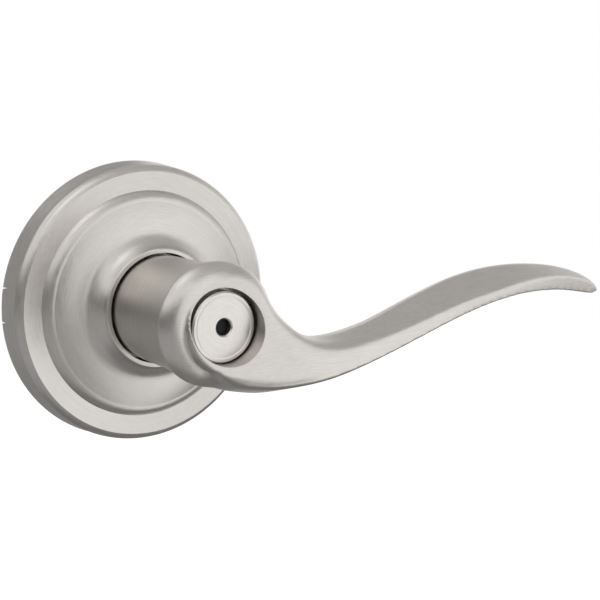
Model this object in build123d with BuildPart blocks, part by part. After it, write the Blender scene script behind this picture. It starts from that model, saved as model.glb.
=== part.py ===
"""Outside half of a privacy door lever: round rose, cast lever and the works behind them.

Sizes are in millimetres. The spindle turns about Y, the door face is the plane y = 0 and the
lever stands out from it along -Y. The arm points along +X and Z is up. In the names below,
"out" is a distance from the door face, so a point is (x, -out, z).
"""

import os
from collections import namedtuple
from math import cos, hypot, pi, radians, sin, sqrt, tan

from build123d import *

# Fits
RUN_GAP = 0.05          # radial play of a turning or sliding fit
SLIP_GAP = 0.05         # play between pieces that are pushed together by hand
MOVE_GAP = 0.3          # room between pieces that pass each other

# Rose, pressed from sheet
ROSE_WALL = 1.0
ROSE_RADIUS = 33.9      # at the door
RIM_LEAN = 0.5          # that the rim narrows by before it rounds over
RIM_OUT = 5.0
RIM_CORNER = 1.6        # width of the rounded corner
RIM_FRONT_OUT = 7.8
DISH_WIDTH = 4.5        # nearly flat ring inside the rim
DISH_DROP = 0.4         # that it falls towards the step
STEP_WIDTH = 2.5        # rounded step from the ring up to the plateau
STEP_RISE = 1.6
COVE_WIDTH = 4.4        # from the plateau up to the collar
COVE_RISE = 3.8
COLLAR_OUT = 14.3
COLLAR_LIP = 1.2        # width of the collar's front edge
COLLAR_GAP = 0.5        # room round the lever's neck
RIM_ROUND = 2.5         # curves of the rim, step, plateau, cove and collar lip
STEP_ROUND = 3.4
PLATEAU_ROUND = 30.0
COVE_ROUND = 5.5
LIP_ROUND = 0.5
TONGUE_WIDTH = 7.7      # snap tongue in the rim, opposite the arm
TONGUE_RISE = 2.1       # of its middle above the axis
TONGUE_OUT = 2.2
TONGUE_SLIT = 0.35      # slit on each side of it

# Mounting plate
PLATE_SHEET = 1.5
PLATE_PLAY = 0.7        # between the plate and the inside of the rose
PLATE_RIM_OUT = 4.6
TAB_WIDTH = 3.2         # spring anchor tab
TAB_ROOM = 0.6          # from the driver's finger to the tab
TAB_THICK = 1.4
STOP_ROOM = 1.4         # from the driver to the stop tabs
STOP_THICK = 2.0
STOP_WIDTH = 3.0
LANCE_LENGTH = 7.0      # window that each tab was bent out of

# Posts for the through screws
POST_SPACING = 38.0
POST_RADIUS = 3.5
POST_LENGTH = 14.5
POST_TAP_RADIUS = 1.7
POST_TAP_DEPTH = 12.0
TENON_RADIUS = 2.5
TENON_HEAD_RADIUS = 3.3
POST_CHAMFER = 0.6
RIVET_HEAD = 0.7        # height of every riveted head on the plate
TENON_CHAMFER = 0.5

# Bearing
HUB_RADIUS = 8.25       # in the bush
BUSH_WALL = 1.5
SLEEVE_WALL = 1.4
SLEEVE_FRONT = 8.5
SLEEVE_BACK = -9.0
FLANGE_RADIUS = 21.0
FLANGE_SHEET = 1.5
BUSH_LIP_RADIUS = 11.0
BUSH_LIP = 1.0
RIVET_RADIUS = 1.5
RIVET_HEAD_RADIUS = 2.3
RIVET_ROUND = 0.49      # rounding of the heads
RIVET_CIRCLE = 17.8
RIVET_COUNT = 4

# Return spring, a torsion spring with both legs at the top
SPRING_WIRE = 1.4
SPRING_TURNS = 3
SPRING_PITCH = 1.84
SPRING_LEG_SPACING = 5.4
SPRING_LEG_PAST = 0.6   # that a leg reaches past the tab
SPRING_FLOOR_GAP = 0.25 # from the plate to the coil
SPRING_SIDE_GAP = 0.45  # from the sleeve to the inside of the coil

# Rose clips, bent strip
CLIP_STRIP = 0.5
CLIP_WIDTH = 8.0
CLIP_FOOT = 5.0
CLIP_COUNT = 3
CLIP_OUT = 5.4          # top of a clip
CLIP_NOSE = 1.2         # from its top to the bend that presses on the rose
CLIP_WINDOW = 9.0       # gap in the plate's rim that a clip springs through
CLIP_TOUCH = 0.1        # from a clip to the inside of the rose

# Hub and what turns with it
HUB_FRONT_RADIUS = 9.0  # in the lever
HUB_BORE_RADIUS = 6.5
HUB_STEP_OUT = 10.0     # the driver sits against this step
HUB_FRONT_OUT = 36.85
HUB_BACK_OUT = -14.2
HUB_FLAT = 8.3          # half the width over the flats that drive the lever
DRIVER_SHEET = 1.2
DRIVER_RADIUS = 12.8
FINGER_ROOM = 0.75      # from the coil to the finger
FINGER_THICK = 1.2
FINGER_TIP_OUT = 2.7
EAR_WIDTH = 6.0
LEVER_SWING = 50.0      # each way from level
STOP_PLAY = 2.0         # degrees left between the ear and a stop at full swing
WASHER_RADIUS = 10.8
WASHER_SHEET = 0.8
CONE_SHEET = 0.4
CONE_HEIGHT = 0.8
RING_SHEET = 1.0
RING_RADIUS = 10.2
RING_GROOVE = 0.7
RING_GAP = 70.0         # degrees
RING_END_ROUND = 0.6
STACK_GAP = 0.06

# Spindle
SPINDLE_RADIUS = 4.2
SPINDLE_BACK_OUT = -40.0
SPINDLE_CHAMFER = 0.6
PLUG_BACK_OUT = 4.0
PLUG_FRONT_OUT = 16.0
PIN_RADIUS = 0.8
PIN_OUT = 12.6
PIN_DROP = 3.0          # below the axis

# Emergency release
ROD_RADIUS = 1.2
ROD_BACK_OUT = -18.0
PLUNGER_HEAD_RADIUS = 3.2
PLUNGER_HEAD = 1.2
GUIDE_BACK_OUT = 30.0
GUIDE_FRONT_OUT = 32.5
RELEASE_CHAMFER = 0.4   # on the guide and on the rod's end
PLUNGER_WIRE = 0.5
PLUNGER_COIL_RADIUS = 2.2
PLUNGER_TURNS = 5
INSERT_RADIUS = 8.0
INSERT_OUT = 42.35
INSERT_FACE = 1.4       # thickness of the disc
INSERT_SKIRT = 0.7
INSERT_BEVEL = 0.35
INSERT_RIM = 0.9        # raised edge of the disc
INSERT_RIM_RISE = 0.08
INSERT_RIM_SLOPE = 0.3
INSERT_HOLE_RADIUS = 1.9
INSERT_HOLE_BEVEL = 0.3
INSERT_LIP = 1.0        # flange that traps the disc in the lever

# Catch that keeps the lever on the hub
CATCH_OUT = 21.0
CATCH_RADIUS = 1.45
CATCH_REACH = 11.6      # from the axis
CATCH_FLANGE_RADIUS = 2.4
CATCH_FLANGE = 0.7
CATCH_ROUND = 0.7
CATCH_SPRING_STRIP = 0.4
CATCH_SPRING_WIDTH = 4.0
CATCH_SPRING_GAP = (225.0, 191.3)   # degrees between which its bow is open

# Lever casting
NECK_RADIUS = 12.7
NECK_BACK_OUT = 10.6
NECK_FRONT_RADIUS = 13.1
NECK_FRONT_OUT = 36.6
HEAD_RADIUS = 14.7
HEAD_OUT = 39.3         # widest place of the head
HEAD_NOSE_OUT = 41.2    # where the rounding ends, inside the ring round the disc
HEAD_NOSE_RADIUS = 8.2
FACE_OUT = 44.0         # head's front face on the axis
FACE_TURN = 10.8        # degrees that the face looks away from the arm
FACE_TILT = 14.0        # degrees that the face looks up
FACE_TRIM = 0.4         # metal that the slanted cut takes off the casting
RING_X = 0.7            # raised ring round the disc
RING_Z = -0.8
RING_FACE_RADIUS = 9.1
RING_FOOT_RADIUS = 9.7
BORE_RADIUS = 8.45      # round the disc
BORE_SHIFT = 0.25       # of the bore to the right and up
SHOULDER_OUT = 37.9     # the insert's flange stops here
FOOT_ROUND = 0.4        # rounding of the arm's lower front edge
RIDGE_DROP = 0.3        # fall from the ridge to the back, as a share of the ridge's rise


def face_out(x, z):
    """How far the head's slanted front face stands from the door at a place."""
    return FACE_OUT + x * tan(radians(FACE_TURN)) - z * tan(radians(FACE_TILT))


def head_point(x, z):
    """Place a little in front of the head's face, so that the slanted cut trims it."""
    return (x, face_out(x, z) + FACE_TRIM, z)


# One cross-section of the arm: the foot and the crease are the lower and upper edges of the
# front face, as (x, out, z). The ridge stands above the crease and behind it, the heel is the
# lower back corner, seen from the foot, and the top falls a little from the ridge to the back.
Rib = namedtuple(
    "Rib", "foot crease ridge_rise ridge_back heel_rise depth back_round crease_round"
)

ARM_RIBS = (
    Rib(head_point(-6.0, -7.0), head_point(-3.5, 10.2), 0.6, 1.5, -0.5, 9.0, 1.0, 0.4),
    Rib(head_point(0.4, -12.0), head_point(3.0, 12.5), 0.8, 2.0, -3.3, 11.5, 1.5, 0.4),
    Rib(head_point(5.0, -13.3), head_point(8.5, 8.9), 2.2, 3.8, -3.6, 12.5, 2.0, 0.6),
    Rib(head_point(9.5, -13.8), head_point(10.8, 2.8), 5.0, 5.0, -3.9, 12.8, 2.2, 1.2),
    Rib(head_point(13.5, -13.8), head_point(13.6, -0.9), 3.4, 5.4, -3.9, 12.8, 2.2, 2.0),
    Rib((20.0, 51.2, -13.5), (20.0, 48.6, -4.6), 1.0, 5.6, -3.4, 12.4, 2.3, 2.8),
    Rib((28.0, 51.0, -12.5), (28.0, 49.3, -6.2), 1.6, 6.0, -2.8, 12.0, 2.4, 2.8),
    Rib((40.0, 50.3, -9.8), (40.0, 49.4, -5.3), 2.7, 6.0, -2.0, 11.4, 2.5, 2.0),
    Rib((52.0, 49.6, -6.7), (52.0, 49.0, -3.1), 4.4, 6.2, -1.0, 11.0, 2.5, 1.2),
    Rib((64.0, 48.9, -3.7), (64.0, 48.4, -0.6), 5.4, 6.2, 0.1, 10.5, 2.5, 0.8),
    Rib((76.0, 47.9, -1.6), (76.0, 47.5, 1.0), 5.6, 6.0, 0.8, 9.8, 2.4, 0.6),
    Rib((88.0, 47.0, -0.6), (88.0, 46.6, 2.5), 4.2, 5.2, 1.0, 8.4, 2.1, 0.5),
    Rib((100.0, 46.0, -1.2), (100.0, 45.5, 2.7), 2.5, 3.8, 0.9, 6.8, 1.6, 0.4),
    Rib((109.0, 45.2, -2.7), (109.0, 44.7, 1.3), 1.5, 2.6, 0.7, 5.0, 1.0, 0.35),
    Rib((114.0, 44.8, -3.6), (114.0, 44.4, -0.4), 0.8, 1.6, 0.5, 3.6, 0.7, 0.3),
    Rib((116.3, 44.6, -3.2), (116.3, 44.3, -2.1), 0.3, 0.8, 0.2, 2.2, 0.3, 0.2),
)

# Sizes that follow from the ones above
RIM_RADIUS = ROSE_RADIUS - RIM_LEAN
RIM_FRONT_RADIUS = RIM_RADIUS - RIM_CORNER
DISH_RADIUS = RIM_FRONT_RADIUS - DISH_WIDTH
DISH_OUT = RIM_FRONT_OUT - DISH_DROP
PLATEAU_RADIUS = DISH_RADIUS - STEP_WIDTH
PLATEAU_OUT = DISH_OUT + STEP_RISE
COLLAR_HOLE_RADIUS = NECK_RADIUS + COLLAR_GAP
COLLAR_RADIUS = COLLAR_HOLE_RADIUS + COLLAR_LIP
COVE_RADIUS = COLLAR_RADIUS + COVE_WIDTH
COVE_OUT = COLLAR_OUT - COVE_RISE
PLATE_RADIUS = ROSE_RADIUS - ROSE_WALL - PLATE_PLAY
BUSH_BORE = HUB_RADIUS + RUN_GAP
SLEEVE_BORE = BUSH_BORE + BUSH_WALL
SLEEVE_RADIUS = SLEEVE_BORE + SLEEVE_WALL
SPRING_RADIUS = SLEEVE_RADIUS + SPRING_SIDE_GAP + SPRING_WIRE / 2
SPRING_START = PLATE_SHEET + SPRING_FLOOR_GAP + SPRING_WIRE / 2
FINGER_IN = SPRING_RADIUS + SPRING_WIRE / 2 + FINGER_ROOM
TAB_IN = FINGER_IN + FINGER_THICK + TAB_ROOM
SPRING_LEG_END = TAB_IN + TAB_THICK + SPRING_LEG_PAST
STOP_IN = DRIVER_RADIUS + STOP_ROOM
EAR_RADIUS = STOP_IN + STOP_THICK
TAB_TOP = SPRING_START + SPRING_TURNS * SPRING_PITCH + SPRING_WIRE / 2
DRIVER_BACK = HUB_STEP_OUT - DRIVER_SHEET
BUSH_BACK = SLEEVE_BACK - BUSH_LIP
WASHER_FRONT = BUSH_BACK - STACK_GAP
CONE_FRONT = WASHER_FRONT - WASHER_SHEET - STACK_GAP
RING_FRONT = CONE_FRONT - CONE_HEIGHT - STACK_GAP
ROD_ROOM = ROD_RADIUS + MOVE_GAP
SPINDLE_FLAT = ROD_ROOM
INSERT_BACK = INSERT_OUT - INSERT_FACE
PLUNGER_FRONT = INSERT_BACK - MOVE_GAP
PLUNGER_BACK = PLUNGER_FRONT - PLUNGER_HEAD
LIP_BACK = HUB_FRONT_OUT + SLIP_GAP
LEVER_BORE = HUB_FRONT_RADIUS + SLIP_GAP
EAR_ANGLE = 180 / pi * EAR_WIDTH / 2 / STOP_IN
STOP_ANGLE = LEVER_SWING + EAR_ANGLE + 180 / pi * STOP_WIDTH / 2 / STOP_IN + STOP_PLAY

pieces = []


def keep(piece, label):
    """Name a finished piece and put it on the list to be written."""
    piece.part.label = label
    pieces.append(piece.part)


def profile(*corners):
    """Half-section from (radius, out) corners, to be turned about the spindle axis."""
    with BuildSketch(Plane.XY) as half:
        with BuildLine():
            Polyline([(radius, -out) for radius, out in corners], close=True)
        make_face()
    return half.sketch


def ring(inner, outer, back, front):
    """Half-section of a plain ring."""
    return profile((inner, back), (outer, back), (outer, front), (inner, front))


def out_plane(out):
    """Plane parallel to the door, looking out from it, with X to the right and Z up."""
    return Plane.XZ.offset(out)


def coil_points(radius, start, pitch, turns):
    """Ends and middles of the half turns of a coil round the spindle axis, up side first."""
    points = []
    for half in range(2 * turns):
        side = 1 if half % 2 == 0 else -1
        rise = start + half * pitch / 2
        bulge = hypot(radius, pitch / 4)
        points.append((
            (0, -rise, side * radius),
            (-side * bulge, -rise - pitch / 4, 0),
            (0, -rise - pitch / 2, -side * radius),
        ))
    return points


def close_ribs(ribs):
    """The ribs with one more between each two, on a smooth curve through their neighbours."""

    def middle(before, first, second, after):
        if isinstance(first, tuple):
            return tuple(middle(*group) for group in zip(before, first, second, after))
        return (9 * (first + second) - before - after) / 16

    closer = [ribs[0]]
    for number in range(1, len(ribs)):
        before = ribs[max(number - 2, 0)]
        after = ribs[min(number + 1, len(ribs) - 1)]
        closer.append(Rib(*middle(before, ribs[number - 1], ribs[number], after)))
        closer.append(ribs[number])
    return closer


def least_gap(radius, pitch, turns, wire):
    """Least gap of a coil to itself, measured between points on turns one turn apart."""
    steps = 48
    line = []
    for step in range(steps * turns + 1):
        angle = 2 * pi * step / steps
        line.append((radius * cos(angle), pitch * step / steps, radius * sin(angle)))
    gaps = []
    for first in range(len(line)):
        for second in range(first + steps // 2, len(line)):
            gaps.append(sqrt(sum((a - b) ** 2 for a, b in zip(line[first], line[second]))))
    return min(gaps) - wire


def rose_section(wall):
    """Half-section of the pressed cover, filled to the axis, set in by a wall."""
    rim = (RIM_RADIUS - wall, -RIM_OUT)
    rim_front = (RIM_FRONT_RADIUS - wall / 2, -RIM_FRONT_OUT + wall)
    dish = (DISH_RADIUS - wall * 3 / 4, -DISH_OUT + wall)
    plateau = (PLATEAU_RADIUS - wall / 4, -PLATEAU_OUT + wall)
    cove = (COVE_RADIUS, -COVE_OUT + wall)
    lip = (COLLAR_RADIUS - wall, -COLLAR_OUT + wall + LIP_ROUND)
    lip_front = (COLLAR_RADIUS - wall - LIP_ROUND, -COLLAR_OUT + wall)
    with BuildSketch(Plane.XY) as half:
        with BuildLine():
            Line((ROSE_RADIUS - wall, 0), rim)
            RadiusArc(rim, rim_front, RIM_ROUND - wall)
            Line(rim_front, dish)
            RadiusArc(dish, plateau, STEP_ROUND - wall)
            RadiusArc(plateau, cove, PLATEAU_ROUND)
            RadiusArc(cove, lip, -COVE_ROUND - wall)
            RadiusArc(lip, lip_front, LIP_ROUND)
            Polyline(lip_front, (0, -COLLAR_OUT + wall), (0, 0), (ROSE_RADIUS - wall, 0))
        make_face()
    return half.sketch


# Rose: a pressed shell with a snap tongue cut into its rim
with BuildPart() as rose:
    revolve(rose_section(0), axis=Axis.Y)
    revolve(rose_section(ROSE_WALL), axis=Axis.Y, mode=Mode.SUBTRACT)
    with BuildSketch(out_plane(0)):
        Circle(COLLAR_HOLE_RADIUS)
    extrude(amount=2 * COLLAR_OUT, mode=Mode.SUBTRACT)
    with BuildSketch(out_plane(0)):
        with Locations((-ROSE_RADIUS, TONGUE_RISE)):
            with GridLocations(0, TONGUE_WIDTH + TONGUE_SLIT, 1, 2):
                Rectangle(4 * ROSE_WALL, TONGUE_SLIT)
    extrude(amount=TONGUE_OUT, mode=Mode.SUBTRACT)
keep(rose, "rose")

# Mounting plate: a shallow pan with three tabs lanced out of its floor
with BuildPart() as mounting_plate:
    revolve(
        profile(
            (SLEEVE_RADIUS, 0),
            (PLATE_RADIUS, 0),
            (PLATE_RADIUS, PLATE_RIM_OUT),
            (PLATE_RADIUS - PLATE_SHEET, PLATE_RIM_OUT),
            (PLATE_RADIUS - PLATE_SHEET, PLATE_SHEET),
            (SLEEVE_RADIUS, PLATE_SHEET),
        ),
        axis=Axis.Y,
    )
    with BuildSketch(out_plane(0)):
        with GridLocations(POST_SPACING, 0, 2, 1):
            Circle(TENON_RADIUS)
        with PolarLocations(RIVET_CIRCLE, RIVET_COUNT, start_angle=180 / RIVET_COUNT):
            Circle(RIVET_RADIUS)
    extrude(amount=PLATE_SHEET, mode=Mode.SUBTRACT)
    with BuildSketch(out_plane(PLATE_SHEET)):
        with PolarLocations(PLATE_RADIUS, CLIP_COUNT, start_angle=90):
            Rectangle(3 * PLATE_SHEET, CLIP_WINDOW)
    extrude(amount=PLATE_RIM_OUT, mode=Mode.SUBTRACT)
    with BuildSketch(out_plane(0)):
        with PolarLocations(TAB_IN + TAB_THICK, 1, start_angle=90):
            Rectangle(LANCE_LENGTH, TAB_WIDTH, align=(Align.MIN, Align.CENTER))
        for angle in (-90 - STOP_ANGLE, -90 + STOP_ANGLE):
            with PolarLocations(STOP_IN + STOP_THICK, 1, start_angle=angle):
                Rectangle(LANCE_LENGTH, STOP_WIDTH, align=(Align.MIN, Align.CENTER))
    extrude(amount=PLATE_SHEET, mode=Mode.SUBTRACT)
    with BuildSketch(out_plane(0)):
        with PolarLocations(TAB_IN, 1, start_angle=90):
            Rectangle(TAB_THICK, TAB_WIDTH, align=(Align.MIN, Align.CENTER))
    extrude(amount=TAB_TOP)
    with BuildSketch(out_plane(0)):
        for angle in (-90 - STOP_ANGLE, -90 + STOP_ANGLE):
            with PolarLocations(STOP_IN, 1, start_angle=angle):
                Rectangle(STOP_THICK, STOP_WIDTH, align=(Align.MIN, Align.CENTER))
    extrude(amount=HUB_STEP_OUT)
keep(mounting_plate, "mounting_plate")

# Posts, riveted into the plate and tapped from the back
for number, side in enumerate((-1, 1), start=1):
    with BuildPart() as mounting_post:
        axis_x = side * POST_SPACING / 2
        with BuildSketch(out_plane(-POST_LENGTH)):
            with Locations((axis_x, 0)):
                Circle(POST_RADIUS)
        extrude(amount=POST_LENGTH)
        with BuildSketch(out_plane(0)):
            with Locations((axis_x, 0)):
                Circle(TENON_RADIUS)
        extrude(amount=PLATE_SHEET)
        with BuildSketch(out_plane(PLATE_SHEET)):
            with Locations((axis_x, 0)):
                Circle(TENON_HEAD_RADIUS)
        extrude(amount=RIVET_HEAD)
        chamfer(mounting_post.edges().sort_by(Axis.Y)[0], TENON_CHAMFER)
        chamfer(mounting_post.edges().sort_by(Axis.Y)[-1], POST_CHAMFER)
        with BuildSketch(out_plane(-POST_LENGTH)):
            with Locations((axis_x, 0)):
                Circle(POST_TAP_RADIUS)
        extrude(amount=POST_TAP_DEPTH, mode=Mode.SUBTRACT)
    keep(mounting_post, f"mounting_post_{number}")

# Bearing housing: a sleeve through the plate with its flange behind it
with BuildPart() as bearing_housing:
    revolve(
        profile(
            (SLEEVE_BORE, SLEEVE_BACK),
            (SLEEVE_RADIUS, SLEEVE_BACK),
            (SLEEVE_RADIUS, -FLANGE_SHEET),
            (FLANGE_RADIUS, -FLANGE_SHEET),
            (FLANGE_RADIUS, 0),
            (SLEEVE_RADIUS, 0),
            (SLEEVE_RADIUS, SLEEVE_FRONT),
            (SLEEVE_BORE, SLEEVE_FRONT),
        ),
        axis=Axis.Y,
    )
    with BuildSketch(out_plane(-FLANGE_SHEET)):
        with GridLocations(POST_SPACING, 0, 2, 1):
            SlotOverall(4 * POST_RADIUS, 2 * (POST_RADIUS + MOVE_GAP))
        with PolarLocations(RIVET_CIRCLE, RIVET_COUNT, start_angle=180 / RIVET_COUNT):
            Circle(RIVET_RADIUS)
    extrude(amount=FLANGE_SHEET, mode=Mode.SUBTRACT)
keep(bearing_housing, "bearing_housing")

# Rivets through the plate and the flange
for number in range(1, RIVET_COUNT + 1):
    with BuildPart() as housing_rivet:
        angle = 360 * (number - 0.5) / RIVET_COUNT
        for start, length, radius in (
            (-FLANGE_SHEET - RIVET_HEAD, RIVET_HEAD, RIVET_HEAD_RADIUS),
            (-FLANGE_SHEET, FLANGE_SHEET + PLATE_SHEET, RIVET_RADIUS),
            (PLATE_SHEET, RIVET_HEAD, RIVET_HEAD_RADIUS),
        ):
            with BuildSketch(out_plane(start)):
                with PolarLocations(RIVET_CIRCLE, 1, start_angle=angle):
                    Circle(radius)
            extrude(amount=length)
        ends = housing_rivet.edges().sort_by(Axis.Y)
        fillet([ends[0], ends[-1]], RIVET_ROUND)
    keep(housing_rivet, f"housing_rivet_{number}")

# Bush, pressed into the sleeve from behind
with BuildPart() as bearing_bush:
    revolve(
        profile(
            (BUSH_BORE, BUSH_BACK),
            (BUSH_LIP_RADIUS, BUSH_BACK),
            (BUSH_LIP_RADIUS, SLEEVE_BACK),
            (SLEEVE_BORE, SLEEVE_BACK),
            (SLEEVE_BORE, SLEEVE_FRONT),
            (BUSH_BORE, SLEEVE_FRONT),
        ),
        axis=Axis.Y,
    )
keep(bearing_bush, "bearing_bush")

# Return spring: half turns as true arcs, then both ends bend out into straight legs
with BuildPart() as return_spring:
    leg = SPRING_LEG_SPACING / 2
    spring_end = SPRING_START + SPRING_TURNS * SPRING_PITCH
    with BuildLine() as spring_path:
        for out, side in ((SPRING_START, 1), (spring_end, -1)):
            bend = SPRING_RADIUS + leg
            half_way = leg * sqrt(0.5)
            Line((side * leg, -out, SPRING_LEG_END), (side * leg, -out, bend))
            ThreePointArc(
                (side * leg, -out, bend),
                (side * half_way, -out, bend - half_way),
                (0, -out, SPRING_RADIUS),
            )
        for start, middle, end in coil_points(SPRING_RADIUS, SPRING_START, SPRING_PITCH, SPRING_TURNS):
            ThreePointArc(start, middle, end)
    with BuildSketch(Plane((leg, -SPRING_START, SPRING_LEG_END), z_dir=(0, 0, -1))):
        Circle(SPRING_WIRE / 2)
    sweep(path=spring_path.wires()[0])
keep(return_spring, "return_spring")
print("return spring, least gap", round(least_gap(SPRING_RADIUS, SPRING_PITCH, SPRING_TURNS, SPRING_WIRE), 2))

# Rose clips: strips on the plate that spring out through its rim and press on the rose
clip_reach = RIM_RADIUS - ROSE_WALL - CLIP_TOUCH
clip_inside = PLATE_RADIUS - PLATE_SHEET
for number in range(1, CLIP_COUNT + 1):
    angle = 90 + 360 * (number - 1) / CLIP_COUNT
    with BuildPart() as rose_clip:
        with BuildSketch(Plane.XY):
            with BuildLine():
                Polyline(
                    (clip_inside - CLIP_FOOT, -PLATE_SHEET),
                    (clip_inside - CLIP_STRIP, -PLATE_SHEET),
                    (clip_reach, -CLIP_OUT + CLIP_NOSE),
                    (clip_inside, -CLIP_OUT),
                )
                offset(amount=CLIP_STRIP, side=Side.RIGHT)
            make_face()
        extrude(amount=CLIP_WIDTH / 2, both=True)
    rose_clip.part = rose_clip.part.rotate(Axis.Y, -angle)
    keep(rose_clip, f"rose_clip_{number}")

# Hub: the tube that the lever is pushed on to, turning in the bush
with BuildPart() as spindle_hub:
    revolve(
        profile(
            (HUB_BORE_RADIUS, HUB_BACK_OUT),
            (HUB_RADIUS, HUB_BACK_OUT),
            (HUB_RADIUS, RING_FRONT - RING_SHEET),
            (HUB_RADIUS - RING_GROOVE, RING_FRONT - RING_SHEET),
            (HUB_RADIUS - RING_GROOVE, RING_FRONT),
            (HUB_RADIUS, RING_FRONT),
            (HUB_RADIUS, HUB_STEP_OUT),
            (HUB_FRONT_RADIUS, HUB_STEP_OUT),
            (HUB_FRONT_RADIUS, HUB_FRONT_OUT),
            (HUB_BORE_RADIUS, HUB_FRONT_OUT),
        ),
        axis=Axis.Y,
    )
    with BuildSketch(out_plane(HUB_STEP_OUT + DRIVER_SHEET)):
        with GridLocations(4 * HUB_FLAT, 0, 2, 1):
            Rectangle(2 * HUB_FLAT, 4 * HUB_FLAT)
    extrude(amount=HUB_FRONT_OUT, mode=Mode.SUBTRACT)
    with BuildSketch(Plane.XY):
        with Locations((0, -CATCH_OUT)):
            Circle(CATCH_RADIUS + RUN_GAP)
    extrude(amount=-2 * HUB_FRONT_RADIUS, mode=Mode.SUBTRACT)
    with BuildSketch(Plane.YZ):
        with Locations((-PIN_OUT, -PIN_DROP)):
            Circle(PIN_RADIUS)
    extrude(amount=2 * HUB_FRONT_RADIUS, both=True, mode=Mode.SUBTRACT)
keep(spindle_hub, "spindle_hub")

# Driver: stamped plate whose finger winds the spring and whose ear meets the stops
with BuildPart() as spring_driver:
    with BuildSketch(out_plane(DRIVER_BACK)):
        Circle(DRIVER_RADIUS)
        with Locations((0, 0)):
            Rectangle(TAB_WIDTH, FINGER_IN + FINGER_THICK, align=(Align.CENTER, Align.MIN))
            Rectangle(EAR_WIDTH, EAR_RADIUS, align=(Align.CENTER, Align.MAX))
        Circle(HUB_RADIUS, mode=Mode.SUBTRACT)
    extrude(amount=DRIVER_SHEET)
    with BuildSketch(out_plane(FINGER_TIP_OUT)):
        with Locations((0, FINGER_IN)):
            Rectangle(TAB_WIDTH, FINGER_THICK, align=(Align.CENTER, Align.MIN))
    extrude(amount=DRIVER_BACK - FINGER_TIP_OUT)
keep(spring_driver, "spring_driver")

# Washers and ring that hold the hub from behind
with BuildPart() as thrust_washer:
    revolve(
        ring(HUB_RADIUS + SLIP_GAP, WASHER_RADIUS, WASHER_FRONT - WASHER_SHEET, WASHER_FRONT),
        axis=Axis.Y,
    )
keep(thrust_washer, "thrust_washer")

with BuildPart() as cone_washer:
    revolve(
        profile(
            (HUB_RADIUS + SLIP_GAP, CONE_FRONT - CONE_HEIGHT),
            (WASHER_RADIUS, CONE_FRONT - CONE_SHEET),
            (WASHER_RADIUS, CONE_FRONT),
            (HUB_RADIUS + SLIP_GAP, CONE_FRONT - CONE_HEIGHT + CONE_SHEET),
        ),
        axis=Axis.Y,
    )
keep(cone_washer, "cone_washer")

with BuildPart() as retaining_ring:
    with BuildSketch(out_plane(RING_FRONT - RING_SHEET)):
        Circle(RING_RADIUS)
        Circle(HUB_RADIUS - RING_GROOVE, mode=Mode.SUBTRACT)
        with BuildLine():
            reach = 2 * RING_RADIUS
            half_gap = reach * tan(radians(RING_GAP / 2))
            Polyline((0, 0), (half_gap, -reach), (-half_gap, -reach), close=True)
        make_face(mode=Mode.SUBTRACT)
    extrude(amount=RING_SHEET)
    fillet(retaining_ring.edges().filter_by(Axis.Y), RING_END_ROUND)
keep(retaining_ring, "retaining_ring")

def half_round():
    """Cross-section of the spindle: the part of a disc that lies below its flat."""
    with BuildSketch(Plane.XY) as bar:
        Circle(SPINDLE_RADIUS)
        with Locations((0, -SPINDLE_FLAT)):
            Rectangle(
                4 * SPINDLE_RADIUS,
                4 * SPINDLE_RADIUS,
                align=(Align.CENTER, Align.MIN),
                mode=Mode.SUBTRACT,
            )
    return bar.sketch


# Spindle: a half-round bar, held in the hub by a plug and a cross pin
with BuildPart() as spindle_plug:
    with BuildSketch(out_plane(PLUG_BACK_OUT)):
        Circle(HUB_BORE_RADIUS)
        add(half_round(), mode=Mode.SUBTRACT)
        Circle(ROD_ROOM, mode=Mode.SUBTRACT)
        Rectangle(2 * ROD_ROOM, SPINDLE_FLAT, align=(Align.CENTER, Align.MAX), mode=Mode.SUBTRACT)
    extrude(amount=PLUG_FRONT_OUT - PLUG_BACK_OUT)
    with BuildSketch(Plane.YZ):
        with Locations((-PIN_OUT, -PIN_DROP)):
            Circle(PIN_RADIUS)
    extrude(amount=2 * HUB_BORE_RADIUS, both=True, mode=Mode.SUBTRACT)
keep(spindle_plug, "spindle_plug")

with BuildPart() as drive_spindle:
    with BuildSketch(out_plane(SPINDLE_BACK_OUT)):
        add(half_round())
    extrude(amount=PLUG_FRONT_OUT - SPINDLE_BACK_OUT)
    chamfer(drive_spindle.faces().sort_by(Axis.Y)[-1].edges(), SPINDLE_CHAMFER)
    with BuildSketch(Plane.YZ):
        with Locations((-PIN_OUT, -PIN_DROP)):
            Circle(PIN_RADIUS)
    extrude(amount=2 * SPINDLE_RADIUS, both=True, mode=Mode.SUBTRACT)
keep(drive_spindle, "drive_spindle")

with BuildPart() as spindle_pin:
    pin_half = sqrt(HUB_FLAT**2 - PIN_DROP**2) - MOVE_GAP
    with BuildSketch(Plane.YZ):
        with Locations((-PIN_OUT, -PIN_DROP)):
            Circle(PIN_RADIUS)
    extrude(amount=pin_half, both=True)
    chamfer(spindle_pin.edges().filter_by(GeomType.CIRCLE), PIN_RADIUS / 4)
keep(spindle_pin, "spindle_pin")

# Emergency release: rod and spring behind the hole in the disc
with BuildPart() as release_guide:
    revolve(
        ring(ROD_RADIUS + RUN_GAP, HUB_BORE_RADIUS, GUIDE_BACK_OUT, GUIDE_FRONT_OUT),
        axis=Axis.Y,
    )
    guide_back = release_guide.edges().group_by(Axis.Y)[0].sort_by(SortBy.LENGTH)[-1]
    chamfer(guide_back, RELEASE_CHAMFER)
keep(release_guide, "release_guide")

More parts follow.
